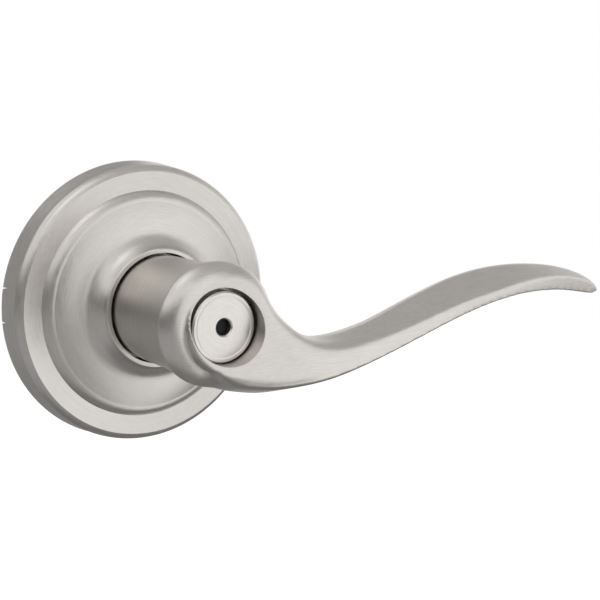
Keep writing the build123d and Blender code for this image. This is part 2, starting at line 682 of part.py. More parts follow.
with BuildPart() as release_plunger:
    revolve(
        profile(
            (0, ROD_BACK_OUT),
            (ROD_RADIUS, ROD_BACK_OUT),
            (ROD_RADIUS, PLUNGER_BACK),
            (PLUNGER_HEAD_RADIUS, PLUNGER_BACK),
            (PLUNGER_HEAD_RADIUS, PLUNGER_FRONT),
            (0, PLUNGER_FRONT),
        ),
        axis=Axis.Y,
    )
    chamfer(release_plunger.edges().sort_by(Axis.Y)[-1], RELEASE_CHAMFER)
keep(release_plunger, "release_plunger")

plunger_room = PLUNGER_BACK - GUIDE_FRONT_OUT
plunger_pitch = (plunger_room - PLUNGER_WIRE - 2 * SLIP_GAP) / PLUNGER_TURNS
with BuildPart() as plunger_spring:
    plunger_start = GUIDE_FRONT_OUT + PLUNGER_WIRE / 2 + SLIP_GAP
    with BuildLine() as plunger_path:
        for start, middle, end in coil_points(
            PLUNGER_COIL_RADIUS, plunger_start, plunger_pitch, PLUNGER_TURNS
        ):
            ThreePointArc(start, middle, end)
    with BuildSketch(Plane((0, -plunger_start, PLUNGER_COIL_RADIUS), z_dir=(-1, 0, 0))):
        Circle(PLUNGER_WIRE / 2)
    sweep(path=plunger_path.wires()[0])
keep(plunger_spring, "plunger_spring")
plunger_gap = least_gap(PLUNGER_COIL_RADIUS, plunger_pitch, PLUNGER_TURNS, PLUNGER_WIRE)
print("plunger spring, least gap", round(plunger_gap, 2))

with BuildPart() as release_insert:
    lip_radius = LEVER_BORE - 2 * SLIP_GAP
    lip_front = SHOULDER_OUT - SLIP_GAP
    skirt_inside = INSERT_RADIUS - INSERT_SKIRT
    rim_top = INSERT_OUT + INSERT_RIM_RISE
    rim_inside = INSERT_RADIUS - INSERT_RIM
    revolve(
        profile(
            (INSERT_HOLE_RADIUS, INSERT_BACK),
            (skirt_inside, INSERT_BACK),
            (skirt_inside, LIP_BACK),
            (lip_radius, LIP_BACK),
            (lip_radius, lip_front),
            (INSERT_RADIUS, lip_front),
            (INSERT_RADIUS, rim_top - INSERT_BEVEL),
            (INSERT_RADIUS - INSERT_BEVEL, rim_top),
            (rim_inside, rim_top),
            (rim_inside - INSERT_RIM_SLOPE, INSERT_OUT),
            (INSERT_HOLE_RADIUS + INSERT_HOLE_BEVEL, INSERT_OUT),
            (INSERT_HOLE_RADIUS, INSERT_OUT - INSERT_HOLE_BEVEL),
        ),
        axis=Axis.Y,
    )
keep(release_insert, "release_insert")

# Catch: a nib through the hub into the neck, on a bowed strip inside the hub
catch_seat = sqrt(HUB_BORE_RADIUS**2 - CATCH_FLANGE_RADIUS**2) - 2 * RUN_GAP
with BuildPart() as lever_catch:
    with BuildSketch(Plane.XY.offset(-CATCH_REACH)):
        with Locations((0, -CATCH_OUT)):
            Circle(CATCH_RADIUS)
    extrude(amount=CATCH_REACH - catch_seat)
    fillet(lever_catch.edges().sort_by(Axis.Z)[0], CATCH_ROUND)
    with BuildSketch(Plane.XY.offset(-catch_seat)):
        with Locations((0, -CATCH_OUT)):
            Circle(CATCH_FLANGE_RADIUS)
    extrude(amount=CATCH_FLANGE)
keep(lever_catch, "lever_catch")

with BuildPart() as catch_spring:
    strip_low = catch_seat - CATCH_FLANGE - RUN_GAP
    strip_high = HUB_BORE_RADIUS - RUN_GAP
    strip_radius = (strip_low + strip_high) / 2
    with BuildSketch(out_plane(CATCH_OUT - CATCH_SPRING_WIDTH / 2)):
        with Locations((0, strip_high - strip_radius)):
            Circle(strip_radius)
            Circle(strip_radius - CATCH_SPRING_STRIP, mode=Mode.SUBTRACT)
        with BuildLine():
            gap_ends = [
                (3 * HUB_BORE_RADIUS * cos(radians(angle)), 3 * HUB_BORE_RADIUS * sin(radians(angle)))
                for angle in CATCH_SPRING_GAP
            ]
            Polyline((0, 0), *gap_ends, close=True)
        make_face(mode=Mode.SUBTRACT)
    extrude(amount=CATCH_SPRING_WIDTH)
keep(catch_spring, "catch_spring")

# Lever: one casting of neck, head and arm. The arm is lofted through its ribs, one slanted cut
# makes the front face round the disc, and the neck and the domed head are turned.
with BuildPart() as lever:
    for rib in close_ribs(ARM_RIBS):
        foot_x, foot_out, foot_z = rib.foot
        crease_x, crease_out, crease_z = rib.crease
        front = hypot(crease_x - foot_x, crease_z - foot_z)
        lean = foot_out - crease_out
        along = ((crease_x - foot_x) / front, 0, (crease_z - foot_z) / front)
        across = (-along[2], 0, along[0])
        with BuildSketch(Plane((foot_x, -foot_out, foot_z), x_dir=along, z_dir=across)):
            with BuildLine():
                FilletPolyline(
                    (0, 0),
                    (front, lean),
                    (front + rib.ridge_rise, lean + rib.ridge_back),
                    (front + rib.ridge_rise * (1 - RIDGE_DROP), rib.depth),
                    (rib.heel_rise, rib.depth),
                    radius=(min(FOOT_ROUND, rib.crease_round), rib.crease_round, *3 * [rib.back_round]),
                    close=True,
                )
            make_face()
    loft()
    with BuildSketch(out_plane(HEAD_OUT)):
        with Locations((RING_X, RING_Z)):
            Circle(RING_FOOT_RADIUS)
    with BuildSketch(out_plane(FACE_OUT + HEAD_RADIUS / 2)):
        with Locations((RING_X, RING_Z)):
            Circle(RING_FACE_RADIUS)
    loft()
    face_normal = (-tan(radians(FACE_TURN)), -1, tan(radians(FACE_TILT)))
    split(bisect_by=Plane((0, -FACE_OUT, 0), z_dir=face_normal), keep=Keep.BOTTOM)
    with BuildSketch(Plane.XY):
        with BuildLine():
            Line((0, -NECK_BACK_OUT), (NECK_RADIUS, -NECK_BACK_OUT))
            Line((NECK_RADIUS, -NECK_BACK_OUT), (NECK_FRONT_RADIUS, -NECK_FRONT_OUT))
            Spline(
                (NECK_FRONT_RADIUS, -NECK_FRONT_OUT),
                (HEAD_RADIUS, -HEAD_OUT),
                tangents=((0, -1), (0, -1)),
            )
            Spline(
                (HEAD_RADIUS, -HEAD_OUT),
                (HEAD_NOSE_RADIUS, -HEAD_NOSE_OUT),
                tangents=((-0.2, -1), (-1, -0.2)),
            )
            Line((HEAD_NOSE_RADIUS, -HEAD_NOSE_OUT), (0, -HEAD_NOSE_OUT))
            Line((0, -HEAD_NOSE_OUT), (0, -NECK_BACK_OUT))
        make_face()
    revolve(axis=Axis.Y)
    with BuildSketch(out_plane(SHOULDER_OUT)):
        with Locations((BORE_SHIFT, BORE_SHIFT)):
            Circle(BORE_RADIUS)
    extrude(amount=FACE_OUT, mode=Mode.SUBTRACT)
    with BuildSketch(out_plane(NECK_BACK_OUT)):
        Circle(LEVER_BORE)
        with GridLocations(4 * HUB_FLAT + 2 * SLIP_GAP, 0, 2, 1):
            Rectangle(2 * HUB_FLAT, 4 * HUB_FLAT, mode=Mode.SUBTRACT)
    extrude(amount=LIP_BACK - NECK_BACK_OUT, mode=Mode.SUBTRACT)
    with BuildSketch(out_plane(LIP_BACK)):
        Circle(LEVER_BORE)
    extrude(amount=SHOULDER_OUT - LIP_BACK, mode=Mode.SUBTRACT)
    with BuildSketch(out_plane(NECK_BACK_OUT)):
        Circle(LEVER_BORE)
    extrude(amount=HUB_STEP_OUT + DRIVER_SHEET - NECK_BACK_OUT, mode=Mode.SUBTRACT)
    with BuildSketch(Plane.XY):
        with Locations((0, -CATCH_OUT)):
            Circle(CATCH_RADIUS + 2 * RUN_GAP)
    extrude(amount=-2 * NECK_RADIUS, mode=Mode.SUBTRACT)
keep(lever, "lever")

os.makedirs("parts", exist_ok=True)
for piece in pieces:
    export_step(piece, f"parts/{piece.label}.step")
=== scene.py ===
"""Finishes, floor, light and camera for a privacy door lever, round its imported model."""

import math

import bmesh
import bpy
import numpy
from bpy.props import FloatProperty, FloatVectorProperty, IntProperty, PointerProperty
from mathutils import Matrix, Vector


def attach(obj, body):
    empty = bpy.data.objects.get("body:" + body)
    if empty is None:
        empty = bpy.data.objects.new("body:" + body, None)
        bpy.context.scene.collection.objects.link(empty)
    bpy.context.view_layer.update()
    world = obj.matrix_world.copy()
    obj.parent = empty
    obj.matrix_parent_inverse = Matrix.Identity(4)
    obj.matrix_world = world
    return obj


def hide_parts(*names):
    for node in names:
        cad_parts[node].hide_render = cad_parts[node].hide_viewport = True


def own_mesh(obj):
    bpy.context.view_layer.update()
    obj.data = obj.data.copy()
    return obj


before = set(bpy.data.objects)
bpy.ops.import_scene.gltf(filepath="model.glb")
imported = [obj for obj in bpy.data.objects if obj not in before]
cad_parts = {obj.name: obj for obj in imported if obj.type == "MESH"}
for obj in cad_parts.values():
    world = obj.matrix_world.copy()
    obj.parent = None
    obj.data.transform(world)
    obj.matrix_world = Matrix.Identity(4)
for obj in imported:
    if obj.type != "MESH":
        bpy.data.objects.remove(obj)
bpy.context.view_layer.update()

bl_info = {
    "name": "Door Lever Dressing",
    "version": (1, 0, 0),
    "blender": (4, 5, 0),
    "location": "View3D > Sidebar > Door Lever",
    "description": "Gives a privacy door lever its finishes, floor, light and camera",
    "category": "Object",
}

MM = 0.001
FLOOR_SIZE = 8.0
CARD_DISTANCE = 0.9     # of the grey cards round the object
CARD_STEP = 6           # degrees from one fold of a bent card to the next
LAMP_AIM = (0.02, -0.03, 0)     # where both lamps point
WORLD_FILL = 0.95       # what the world lights with, against 1 where it is seen
WHITE = (1.0, 1.0, 1.0, 1.0)
SENSOR_WIDTH = 36.0     # millimetres
CLIP_START = 0.01

# Sockets of a Mix node that have no name of their own: two inputs and the output
MIX_COLOURS = (6, 7, 2)
MIX_VECTORS = (4, 5, 1)

# Brushed nickel: shares of the tone in its darkest and lightest streaks, weight of the cloudy
# patches against the streaks, range of the two added up, and strength of the relief
STREAK_DARK = 0.90
STREAK_LIGHT = 1.07
PATCH_WEIGHT = 0.35
PATTERN_RANGE = (0.35, 1.0)
STREAK_DEPTH = 0.22
RELIEF_HEIGHT = 0.05 * MM       # of the finest relief, on every finish

# The casting, in millimetres from the door, but CROWN_END along the arm
BRUSH_TURN = (34.0, 40.0)       # the brush leaves the round of the neck for the line of the arm
CROWN_IN = (36.6, 38.5)         # the crown of the head comes in
CROWN_OUT = (41.4, 42.6)        # and runs out
CROWN_END = (0, 8)              # and ends where the arm begins
NECK_OUT = 40                   # the neck's inside, with its fits, reaches this far
RING_FADE = 1.28                # edges grow soft from the ring's radius to this many times it

# Nodes of each finish, all in their places in the frame
ZINC_PLATED = ("mounting_plate", "bearing_housing", "spring_driver", "mounting_post_1",
               "mounting_post_2", "housing_rivet_1", "housing_rivet_2", "housing_rivet_3",
               "housing_rivet_4")
MACHINED_STEEL = ("spindle_hub", "drive_spindle", "thrust_washer", "spindle_pin", "lever_catch")
SPRING_STEEL = ("return_spring", "plunger_spring", "catch_spring", "cone_washer",
                "retaining_ring", "rose_clip_1", "rose_clip_2", "rose_clip_3")
BLACK_NYLON = ("release_guide", "release_plunger")

# Node of a spring, the piece that stands for it, and the joint that presses it
PRESSED_SPRINGS = (
    ("plunger_spring", "plunger_coil", "release_push"),
    ("catch_spring", "catch_bow", "catch_press"),
)


def linear(code):
    """Linear RGBA of an sRGB hex colour."""
    channels = [int(code[i:i + 2], 16) / 255 for i in (1, 3, 5)]
    return [c / 12.92 if c <= 0.04045 else ((c + 0.055) / 1.055) ** 2.4 for c in channels] + [1.0]


def add_node(tree, kind, links=None, **settings):
    """Add a node, set its settings, and link or fill its inputs."""
    node = tree.nodes.new(kind)
    for name, value in settings.items():
        setattr(node, name, value)
    for socket, source in (links or {}).items():
        if isinstance(source, bpy.types.NodeSocket):
            tree.links.new(source, node.inputs[socket])
        else:
            node.inputs[socket].default_value = source
    return node


def new_material(name):
    """An empty material with its shader and output, ready for its pattern."""
    material = bpy.data.materials.new(name)
    material.use_nodes = True
    tree = material.node_tree
    tree.nodes.clear()
    shader = add_node(tree, "ShaderNodeBsdfPrincipled")
    add_node(tree, "ShaderNodeOutputMaterial", {"Surface": shader.outputs["BSDF"]})
    return material, tree, shader


def wear(node_name, material):
    """Put a finish on a CAD node's own material slots."""
    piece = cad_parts[node_name]
    if not piece.material_slots:
        piece.data.materials.append(material)
    for slot in piece.material_slots:
        slot.material = material


def place_axes(tree):
    """Coordinates of the frame in millimetres, from the spindle axis: x, y, z and radius."""
    coords = add_node(tree, "ShaderNodeTexCoord")
    in_mm = add_node(
        tree, "ShaderNodeVectorMath",
        {0: coords.outputs["Object"], "Scale": 1 / MM}, operation="SCALE",
    )
    split = add_node(tree, "ShaderNodeSeparateXYZ", {0: in_mm.outputs[0]})
    across = add_node(
        tree, "ShaderNodeCombineXYZ", {"X": split.outputs["X"], "Y": split.outputs["Z"]}
    )
    radius = add_node(
        tree, "ShaderNodeVectorMath", {0: across.outputs[0]}, operation="LENGTH"
    )
    return in_mm.outputs[0], split.outputs, radius.outputs["Value"]


def turned_lines(tree, axes, radius, squeeze):
    """Place for the noise of a turned face: lines round the axis, each a short arc."""
    across = add_node(tree, "ShaderNodeMath", {0: axes["X"], 1: axes["Z"]}, operation="ADD")
    arc = add_node(
        tree, "ShaderNodeMath", {0: across.outputs[0], 1: squeeze}, operation="MULTIPLY"
    )
    return add_node(
        tree, "ShaderNodeCombineXYZ", {"X": radius, "Y": axes["Y"], "Z": arc.outputs[0]}
    ).outputs[0]


def vary_tone(tree, shader, pattern, tone, dark, light):
    """Let a pattern vary the colour between two shares of its tone."""
    first, second, result = MIX_COLOURS
    ends = [
        [min(channel * share, 1.0) for channel in tone[:3]] + [1.0] for share in (dark, light)
    ]
    shade = add_node(
        tree, "ShaderNodeMix", {"Factor": pattern, first: ends[0], second: ends[1]},
        data_type="RGBA",
    )
    tree.links.new(shade.outputs[result], shader.inputs["Base Color"])


def vary_gloss(tree, shader, grain, roughness, spread, depth):
    """Let a grain vary the roughness and raise a fine relief."""
    gloss = add_node(
        tree, "ShaderNodeMapRange",
        {"Value": grain, "To Min": roughness - spread, "To Max": roughness + spread},
    )
    relief = add_node(
        tree, "ShaderNodeBump",
        {"Height": grain, "Strength": depth, "Distance": RELIEF_HEIGHT},
    )
    tree.links.new(gloss.outputs[0], shader.inputs["Roughness"])
    tree.links.new(relief.outputs[0], shader.inputs["Normal"])


def brush(tree, shader, finish, tone, path, place,
          streak_detail, patches_per_mm, patch_detail, gloss_spread):
    """Brush a nickel face: streaks along a path, over faint cloudy patches."""
    streaks = add_node(
        tree, "ShaderNodeTexNoise",
        {"Vector": path, "Scale": MM / finish.streak, "Detail": streak_detail},
    ).outputs[0]
    patches = add_node(
        tree, "ShaderNodeTexNoise",
        {"Vector": place, "Scale": patches_per_mm, "Detail": patch_detail},
    )
    both = add_node(
        tree, "ShaderNodeMath",
        {0: patches.outputs[0], 1: PATCH_WEIGHT, 2: streaks}, operation="MULTIPLY_ADD",
    )
    low, high = PATTERN_RANGE
    even = add_node(
        tree, "ShaderNodeMapRange",
        {"Value": both.outputs[0], "From Min": low, "From Max": high},
    )
    vary_tone(tree, shader, even.outputs[0], tone, STREAK_DARK, STREAK_LIGHT)
    vary_gloss(tree, shader, streaks, finish.roughness, gloss_spread, STREAK_DEPTH)
    shader.inputs["Metallic"].default_value = 1.0


def shown_mesh(piece):
    """Mesh of a loose object with its modifiers applied; the object goes."""
    bpy.context.scene.collection.objects.link(piece)
    bpy.context.view_layer.update()
    mesh = bpy.data.meshes.new_from_object(
        piece.evaluated_get(bpy.context.evaluated_depsgraph_get())
    )
    bpy.data.objects.remove(piece)
    return mesh


def round_plug(shape, over, front_of):
    """A round plug for the disc's bore, larger by a little, to a front given for x and z."""
    form = bmesh.new()
    radius = shape.bore_radius + over
    bmesh.ops.create_cone(
        form, cap_ends=True, segments=shape.bore_sides,
        radius1=radius, radius2=radius, depth=1.0,
    )
    for corner in form.verts:
        x, y, z = corner.co
        x, z = x + shape.bore_shift[0], y + shape.bore_shift[1]
        out = front_of(x, z) if corner.co.z > 0 else shape.bore_floor + over
        corner.co = (x, -out, z)
    return form


def even_copy(node_name, form, cell):
    """Mesh of a solid in the frame, joined with a closed form and cut anew into even cells."""
    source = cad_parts[node_name]
    solid = source.data.copy()
    solid.transform(source.matrix_world)
    form.from_mesh(solid)
    form.to_mesh(solid)
    form.free()
    copy = bpy.data.objects.new(node_name + "_copy", solid)
    remesh = copy.modifiers.new("cells", "REMESH")
    remesh.mode = "VOXEL"
    remesh.voxel_size = cell
    return shown_mesh(copy)


def bore_out(mesh, form):
    """Mesh with a closed form cut out of it."""
    tool_mesh = bpy.data.meshes.new("bore")
    form.to_mesh(tool_mesh)
    form.free()
    tool = bpy.data.objects.new("bore", tool_mesh)
    bpy.context.scene.collection.objects.link(tool)
    body = bpy.data.objects.new("body", mesh)
    cut = body.modifiers.new("bore", "BOOLEAN")
    cut.object = tool
    cut.operation = "DIFFERENCE"
    cut.solver = "MANIFOLD"
    bored = shown_mesh(body)
    bpy.data.objects.remove(tool)
    return bored


def ramp(values, low, high):
    """Smooth rise from 0 at one value to 1 at another."""
    share = numpy.clip((values - low) / (high - low), 0, 1)
    return share * share * (3 - 2 * share)


def soften(mesh, passes, push_of, share_of):
    """Push each vertex, then draw it towards its neighbours, by a share for its place."""
    places = numpy.empty(len(mesh.vertices) * 3)
    mesh.vertices.foreach_get("co", places)
    places = places.reshape(-1, 3)
    places += push_of(places / MM) * MM
    ends = numpy.empty(len(mesh.edges) * 2, dtype=int)
    mesh.edges.foreach_get("vertices", ends)
    first, second = ends.reshape(-1, 2).T
    around = numpy.bincount(ends, minlength=len(places))
    share = share_of(places / MM)
    for _ in range(passes):
        for axis in range(3):
            values = places[:, axis]
            total = numpy.bincount(first, values[second], len(places))
            total += numpy.bincount(second, values[first], len(places))
            places[:, axis] += share * (total / around - values)
    mesh.vertices.foreach_set("co", places.ravel())
    mesh.polygons.foreach_set("use_smooth", numpy.ones(len(mesh.polygons), dtype=bool))
    mesh.update()


def seen_directly(tree):
    """One for the rays that show a background: from the camera, a gloss or a clear piece."""
    path = add_node(tree, "ShaderNodeLightPath")
    first = add_node(
        tree, "ShaderNodeMath",
        {0: path.outputs["Is Camera Ray"], 1: path.outputs["Is Glossy Ray"]},
        operation="MAXIMUM",
    )
    return add_node(
        tree, "ShaderNodeMath",
        {0: first.outputs[0], 1: path.outputs["Is Transmission Ray"]}, operation="MAXIMUM",
    ).outputs[0]


def stage_sheet(name, corners, faces, material):
    """A sheet of the stage from its corners and faces."""
    mesh = bpy.data.meshes.new(name)
    mesh.from_pydata(corners, [], faces)
    mesh.materials.append(material)
    sheet = bpy.data.objects.new(name, mesh)
    bpy.context.scene.collection.objects.link(sheet)
    return sheet


def bent_card(name, left, right, low, high, material):
    """A card bent to a patch of a sphere round the object, between angles in degrees."""
    across = max(2, round((right - left) / CARD_STEP))
    upward = max(2, round((high - low) / CARD_STEP))
    corners = []
    for row in range(upward + 1):
        elevation = math.radians(low + (high - low) * row / upward)
        for column in range(across + 1):
            azimuth = math.radians(left + (right - left) * column / across)
            corners.append((
                CARD_DISTANCE * math.sin(azimuth) * math.cos(elevation),
                -CARD_DISTANCE * math.cos(azimuth) * math.cos(elevation),
                CARD_DISTANCE * math.sin(elevation),
            ))
    faces = []
    for row in range(upward):
        for column in range(across):
            first = row * (across + 1) + column
            faces.append((first, first + 1, first + across + 2, first + across + 1))
    return stage_sheet(name, corners, faces, material)


class NickelFinish(bpy.types.PropertyGroup):
    """Satin nickel of the pieces that show."""

    tone: FloatVectorProperty(
        name="Nickel", description="Colour of the satin nickel plate",
        subtype="COLOR", size=4, min=0, max=1, default=linear("#DAD6D1"),
    )
    # Lighter copy of the same nickel: a painted sheen that brightens the disc's face
    disc_sheen_tone: FloatVectorProperty(
        name="Disc", description="Colour of the release disc, a shade lighter",
        subtype="COLOR", size=4, min=0, max=1, default=linear("#E0DCD7"),
    )
    roughness: FloatProperty(
        name="Roughness", description="Roughness of the satin face",
        subtype="FACTOR", min=0, max=1, default=0.34,
    )
    streak: FloatProperty(
        name="Streak", description="Spacing of the brush streaks",
        unit="LENGTH", min=0.0001, default=0.35 * MM,
    )
    streak_length: FloatProperty(
        name="Streak length", description="Length of a brush streak along the arm",
        unit="LENGTH", min=0.001, default=9 * MM,
    )
    arc_length: FloatProperty(
        name="Arc length", description="Length of a brush streak round the rose and the disc",
        unit="LENGTH", min=0.001, default=3 * MM,
    )
    anisotropy: FloatProperty(
        name="Anisotropy", description="How far the spun lines stretch the gloss",
        subtype="FACTOR", min=0, max=1, default=0.4,
    )


class CastingShape(bpy.types.PropertyGroup):
    """How far the casting was linished soft."""

    cell: FloatProperty(
        name="Cell", description="Size of the cells that the casting is cut into",
        unit="LENGTH", min=0.0001, default=0.25 * MM,
    )
    passes: IntProperty(
        name="Passes", description="How often the edges are drawn soft",
        min=0, default=200,
    )
    soft_share: FloatProperty(
        name="Soft share", description="Softness of the head's edges, against its lower hollow",
        subtype="FACTOR", min=0, max=1, default=0.8,
    )
    soft_end: FloatProperty(
        name="Soft to", description="How far along the arm the edges are fully soft",
        unit="LENGTH", default=12 * MM,
    )
    crisp_from: FloatProperty(
        name="Crisp from", description="How far along the arm the edges become crisp",
        unit="LENGTH", default=40 * MM,
    )
    crisp_share: FloatProperty(
        name="Crisp share", description="Share of the softness that is left there",
        subtype="FACTOR", min=0, max=1, default=0.11,
    )
    tip_from: FloatProperty(
        name="Tip from", description="How far along the arm its edges become crisper still",
        unit="LENGTH", default=70 * MM,
    )
    tip_end: FloatProperty(
        name="Tip to", description="How far along the arm they have become so",
        unit="LENGTH", default=105 * MM,
    )
    tip_share: FloatProperty(
        name="Tip share", description="Share of the softness that the tip has",
        subtype="FACTOR", min=0, max=1, default=0.08,
    )
    ring_radius: FloatProperty(
        name="Ring", description="Radius within which the ring round the disc keeps its edges",
        unit="LENGTH", default=10.0 * MM,
    )
    ring_share: FloatProperty(
        name="Ring share", description="Share of the softness that the ring has",
        subtype="FACTOR", min=0, max=1, default=0.03,
    )
    hollow: FloatVectorProperty(
        name="Hollow", description="Where the hollow below the head is linished softest: x and z",
        subtype="XYZ_LENGTH", size=2, default=(-1 * MM, -14 * MM),
    )
    hollow_reach: FloatProperty(
        name="Hollow reach", description="How far from there the softness runs out",
        unit="LENGTH", default=12 * MM,
    )
    head_radius: FloatProperty(
        name="Head", description="Radius of the head",
        unit="LENGTH", min=0, default=14.7 * MM,
    )
    crown: FloatProperty(
        name="Crown", description="How far the head's edge is linished back",
        unit="LENGTH", default=1.4 * MM,
    )
    bore_radius: FloatProperty(
        name="Bore", description="Radius of the bore for the disc",
        unit="LENGTH", min=0, default=8.45 * MM,
    )
    bore_shift: FloatVectorProperty(
        name="Bore shift", description="Shift of the bore from the spindle axis: x and z",
        subtype="XYZ_LENGTH", size=2, default=(0.05 * MM, 0.25 * MM),
    )
    bore_floor: FloatProperty(
        name="Bore floor", description="How far the floor of the bore stands from the door",
        unit="LENGTH", default=37.9 * MM,
    )
    bore_sides: IntProperty(
        name="Bore sides", description="Facets round the bore",
        min=8, default=160,
    )
    face_out: FloatProperty(
        name="Face", description="How far the head's front face stands from the door",
        unit="LENGTH", default=44.0 * MM,
    )
    face_turn: FloatProperty(
        name="Face turn", description="Angle by which the face looks away from the arm",
        subtype="ANGLE", default=math.radians(10.8),
    )
    face_tilt: FloatProperty(
        name="Face tilt", description="Angle by which the face looks up",
        subtype="ANGLE", default=math.radians(14.0),
    )
    neck_inside: FloatProperty(
        name="Neck inside", description="Radius within which the neck keeps its fits",
        unit="LENGTH", default=12.0 * MM,
    )


class WorksFinish(bpy.types.PropertyGroup):
    """Finishes of the works behind the rose and inside the neck."""

    zinc: FloatVectorProperty(
        name="Zinc plate", description="Colour of the zinc-plated pressings",
        subtype="COLOR", size=4, min=0, max=1, default=linear("#C3C7CB"),
    )
    steel: FloatVectorProperty(
        name="Machined steel", description="Colour of the bare turned steel",
        subtype="COLOR", size=4, min=0, max=1, default=linear("#A9A9AB"),
    )
    spring: FloatVectorProperty(
        name="Spring steel", description="Colour of the oiled spring wire and strip",
        subtype="COLOR", size=4, min=0, max=1, default=linear("#6C6C72"),
    )
    bronze: FloatVectorProperty(
        name="Bronze", description="Colour of the sintered bush",
        subtype="COLOR", size=4, min=0, max=1, default=linear("#B58A52"),
    )
    casting: FloatVectorProperty(
        name="Die casting", description="Colour of the bare zinc casting",
        subtype="COLOR", size=4, min=0, max=1, default=linear("#B0B0B3"),
    )
    nylon: FloatVectorProperty(
        name="Nylon", description="Colour of the moulded nylon",
        subtype="COLOR", size=4, min=0, max=1, default=linear("#070707"),
    )


class StageSetting(bpy.types.PropertyGroup):
    """Floor, light and camera."""

    floor: FloatVectorProperty(
        name="Floor", description="Colour of the floor",
        subtype="COLOR", size=4, min=0, max=1, default=linear("#F4F4F2"),
    )
    floor_drop: FloatProperty(
        name="Floor drop", description="How far the floor lies below the spindle axis",
        unit="LENGTH", default=1.0,
    )
    floor_lift: FloatProperty(
        name="Floor lift", description="Light added to the floor where it is seen",
        min=0, max=1, default=0.25,
    )
    key_power: FloatProperty(
        name="Key lamp", description="Power of the soft lamp above the left",
        unit="POWER", min=0, default=0.2,
    )
    fill_power: FloatProperty(
        name="Fill lamp", description="Power of the large soft lamp in front",
        unit="POWER", min=0, default=0.25,
    )
    left_grey: FloatProperty(
        name="Left", description="Light that the dark card on the left sends to the metal",
        subtype="FACTOR", min=0, max=1, default=0.09,
    )
    left_low_grey: FloatProperty(
        name="Low left", description="Light that the grey card low on the left sends",
        subtype="FACTOR", min=0, max=1, default=0.41,
    )
    left_high_grey: FloatProperty(
        name="High left", description="Light that the pale card high on the left sends",
        subtype="FACTOR", min=0, max=1, default=0.76,
    )
    ceiling_grey: FloatProperty(
        name="Ceiling", description="Light that the grey card overhead sends to the metal",
        subtype="FACTOR", min=0, max=1, default=0.48,
    )
    back_grey: FloatProperty(
        name="Door side", description="Light that the grey card on the door side sends",
        subtype="FACTOR", min=0, max=1, default=0.33,
    )
    right_grey: FloatProperty(
        name="Right", description="Light that the grey card on the right sends to the tip",
        subtype="FACTOR", min=0, max=1, default=0.25,
    )
    right_high_grey: FloatProperty(
        name="High right", description="Light that the pale card above the right sends",
        subtype="FACTOR", min=0, max=1, default=0.70,
    )
    under_grey: FloatProperty(
        name="Underside", description="Light that the dark card below sends",
        subtype="FACTOR", min=0, max=1, default=0.20,
    )
    under_back_grey: FloatProperty(
        name="Low door side", description="Light that the dark card below the door side sends",
        subtype="FACTOR", min=0, max=1, default=0.26,
    )
    camera_place: FloatVectorProperty(
        name="Camera", description="Where the camera stands",
        subtype="TRANSLATION", size=3, default=(-0.146433, -0.279944, 0.056365),
    )
    camera_azimuth: FloatProperty(
        name="Azimuth", description="Turn of the camera about the upright axis",
        subtype="ANGLE", default=math.radians(-35.05),
    )
    camera_elevation: FloatProperty(
        name="Elevation", description="How steeply the camera looks down",
        subtype="ANGLE", default=math.radians(10.225),
    )
    lens: FloatProperty(
        name="Lens", description="Focal length in millimetres on a 36 mm sensor",
        min=1, default=78.0,
    )


class DOORLEVER_OT_rose(bpy.types.Operator):
    """Give the pressed rose its spun satin nickel"""

    bl_idname = "door_lever.rose"
    bl_label = "Rose"

    def execute(self, context):
        finish = context.scene.nickel_finish
        # Satin nickel on pressed brass, spun against an abrasive: fine lines run round the
        # axis and stretch the gloss across them. The lines are drawn coarser than real ones.
        material, tree, shader = new_material("satin_nickel_spun")
        place, axes, radius = place_axes(tree)
        lines = turned_lines(tree, axes, radius, finish.streak / finish.arc_length)
        brush(tree, shader, finish, finish.tone, lines, place,
              streak_detail=2.0, patches_per_mm=0.35, patch_detail=3.0, gloss_spread=0.07)
        around = add_node(tree, "ShaderNodeTangent", direction_type="RADIAL", axis="Y")
        tree.links.new(around.outputs[0], shader.inputs["Tangent"])
        shader.inputs["Anisotropic"].default_value = finish.anisotropy
        wear("rose", material)
        return {"FINISHED"}


